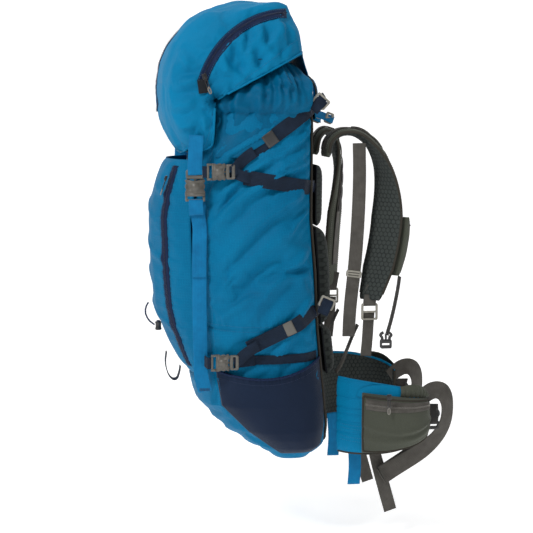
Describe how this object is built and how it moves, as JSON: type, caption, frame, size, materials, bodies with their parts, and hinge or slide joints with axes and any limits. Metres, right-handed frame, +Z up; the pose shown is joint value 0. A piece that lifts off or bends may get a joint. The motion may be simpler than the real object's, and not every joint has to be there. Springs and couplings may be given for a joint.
{
  "type": "hiking backpack",
  "caption": "Large internal-frame hiking backpack with a hinged lid, front pocket, stretch side pockets, padded shoulder straps and a hip belt, hanging by its haul loop.",
  "frame": {"origin": "crown of the haul loop, where the pack hangs", "axes": "+X towards the wearer, +Y to the wearer's left, +Z up"},
  "size_m": [0.5667, 0.4018, 0.9297],
  "materials": {
    "ripstop_blue": "woven ripstop nylon, coated",
    "navy_fabric": "woven nylon",
    "stretch_navy": "stretch woven",
    "stretch_grey": "stretch woven",
    "mesh_pad": "honeycomb spacer mesh",
    "grey_webbing": "woven polyester webbing",
    "navy_webbing": "woven nylon webbing",
    "blue_webbing": "woven nylon webbing",
    "zip_navy": "coil zip on coated tape",
    "buckle_grey": "moulded acetal",
    "slider_black": "painted zinc",
    "cord_navy": "braided elastic cord",
    "frame_plastic": "ribbed polyethylene sheet",
    "stay_metal": "mill finish bar"
  },
  "bodies": {
    "pack": {"front_panel": "ripstop_blue", "right_side_panel": "ripstop_blue", "left_side_panel": "ripstop_blue", "bottom_panel": "ripstop_blue", "back_panel": "navy_fabric", "snow_collar": "ripstop_blue", "front_pocket": "ripstop_blue", "front_zip_tapes": "zip_navy", "right_stretch_pocket": "stretch_navy", "left_stretch_pocket": "stretch_navy", "edge_piping": "grey_webbing", "frame_sheet": "frame_plastic", "frame_stays": "stay_metal", "back_pad": "mesh_pad", "lumbar_pad": "mesh_pad", "shoulder_yoke": "mesh_pad", "haul_loop": "navy_webbing", "grab_handle": "grey_webbing", "compression_straps": "navy_webbing", "compression_ladderlocks": "buckle_grey", "compression_sockets": "buckle_grey", "lid_strap_webbing": "blue_webbing", "load_lifters": "navy_webbing", "ice_axe_loop": "navy_webbing", "cord_lock_barrel": "buckle_grey", "tool_bungee": "cord_navy", "lower_shoulder_webbing": "grey_webbing"},
    "lid": {"lid_shell": "ripstop_blue", "lid_underside": "navy_fabric", "lid_zip_tapes": "zip_navy", "lid_tabs": "blue_webbing", "lid_plugs": "buckle_grey"},
    "shoulder_right": {"shoulder_pad_right": "mesh_pad", "shoulder_pouch": "stretch_grey", "shoulder_adjuster_right": "buckle_grey", "lifter_tail": "grey_webbing"},
    "shoulder_left": {"shoulder_pad_left": "mesh_pad", "shoulder_adjuster_left": "buckle_grey"},
    "belt_right": {"belt_wing_right": "ripstop_blue", "belt_pocket_right": "stretch_grey", "belt_webbing_right": "grey_webbing"},
    "belt_left": {"belt_wing_left": "ripstop_blue", "belt_pocket_left": "stretch_grey", "belt_webbing_left": "grey_webbing"},
    "lid_slider_right": {"lid_slider_right": "slider_black"},
    "lid_slider_left": {"lid_slider_left": "slider_black"},
    "lid_socket_right": {"lid_socket_right": "buckle_grey"},
    "lid_socket_left": {"lid_socket_left": "buckle_grey"},
    "plug_upper_right": {"plug_upper_right": "buckle_grey"},
    "plug_upper_left": {"plug_upper_left": "buckle_grey"},
    "plug_lower_right": {"plug_lower_right": "buckle_grey"},
    "plug_lower_left": {"plug_lower_left": "buckle_grey"},
    "front_slider_right": {"front_slider_right": "slider_black"},
    "front_slider_left": {"front_slider_left": "slider_black"},
    "cord_lock_button": {"cord_lock_button": "buckle_grey"},
    "sternum_strap_right": {"sternum_strap_right": "grey_webbing"},
    "sternum_strap_left": {"sternum_strap_left": "grey_webbing"},
    "belt_slider_right": {"belt_slider_right": "slider_black"},
    "belt_slider_left": {"belt_slider_left": "slider_black"}
  },
  "joints": [
    {"name": "lid_open", "type": "hinge", "parent": "pack", "child": "lid", "pos_m": [-0.014, 0, 0.002], "axis": [0, 1, 0], "range_deg": [0, 85]},
    {"name": "lid_zip_right", "type": "hinge", "parent": "lid", "child": "lid_slider_right", "pos_m": [-0.03, 0, -0.108], "axis": [0, 1, 0], "range_deg": [0, 38]},
    {"name": "lid_socket_slide_right", "type": "slide", "parent": "pack", "child": "lid_socket_right", "axis": [0, 0, -1], "range_m": [0, 0.06]},
    {"name": "upper_release_right", "type": "slide", "parent": "pack", "child": "plug_upper_right", "axis": [1, 0, 0], "range_m": [0, 0.015]},
    {"name": "lower_release_right", "type": "slide", "parent": "pack", "child": "plug_lower_right", "axis": [1, 0, 0], "range_m": [0, 0.015]},
    {"name": "front_zip_right", "type": "hinge", "parent": "pack", "child": "front_slider_right", "pos_m": [0.117, 0, -0.359], "axis": [0, 1, 0], "range_deg": [-42, 0]},
    {"name": "shoulder_swing_right", "type": "hinge", "parent": "pack", "child": "shoulder_right", "pos_m": [0.038, -0.062, -0.198], "axis": [0, -1, 0], "range_deg": [-3, 18]},
    {"name": "sternum_slide_right", "type": "slide", "parent": "shoulder_right", "child": "sternum_strap_right", "axis": [0, 0, 1], "range_m": [-0.03, 0.03]},
    {"name": "belt_wrap_right", "type": "hinge", "parent": "pack", "child": "belt_right", "pos_m": [0.048, -0.11, -0.65], "axis": [0, 0, -1], "range_deg": [-12, 30]},
    {"name": "belt_zip_right", "type": "slide", "parent": "belt_right", "child": "belt_slider_right", "axis": [1, 0, 0], "range_m": [0, 0.03]},
    {"name": "lid_zip_left", "type": "hinge", "parent": "lid", "child": "lid_slider_left", "pos_m": [-0.03, 0, -0.108], "axis": [0, 1, 0], "range_deg": [0, 38]},
    {"name": "lid_socket_slide_left", "type": "slide", "parent": "pack", "child": "lid_socket_left", "axis": [0, 0, -1], "range_m": [0, 0.06]},
    {"name": "upper_release_left", "type": "slide", "parent": "pack", "child": "plug_upper_left", "axis": [1, 0, 0], "range_m": [0, 0.015]},
    {"name": "lower_release_left", "type": "slide", "parent": "pack", "child": "plug_lower_left", "axis": [1, 0, 0], "range_m": [0, 0.015]},
    {"name": "front_zip_left", "type": "hinge", "parent": "pack", "child": "front_slider_left", "pos_m": [0.117, 0, -0.359], "axis": [0, 1, 0], "range_deg": [-42, 0]},
    {"name": "shoulder_swing_left", "type": "hinge", "parent": "pack", "child": "shoulder_left", "pos_m": [0.038, 0.062, -0.198], "axis": [0, -1, 0], "range_deg": [-3, 18]},
    {"name": "sternum_slide_left", "type": "slide", "parent": "shoulder_left", "child": "sternum_strap_left", "axis": [0, 0, 1], "range_m": [-0.03, 0.03]},
    {"name": "belt_wrap_left", "type": "hinge", "parent": "pack", "child": "belt_left", "pos_m": [0.048, 0.11, -0.65], "axis": [0, 0, 1], "range_deg": [-12, 30]},
    {"name": "belt_zip_left", "type": "slide", "parent": "belt_left", "child": "belt_slider_left", "axis": [1, 0, 0], "range_m": [0, 0.03]},
    {"name": "cord_lock_press", "type": "slide", "parent": "pack", "child": "cord_lock_button", "axis": [0, 0, -1], "range_m": [0, 0.003], "stiffness_N_per_m": 800}
  ]
}
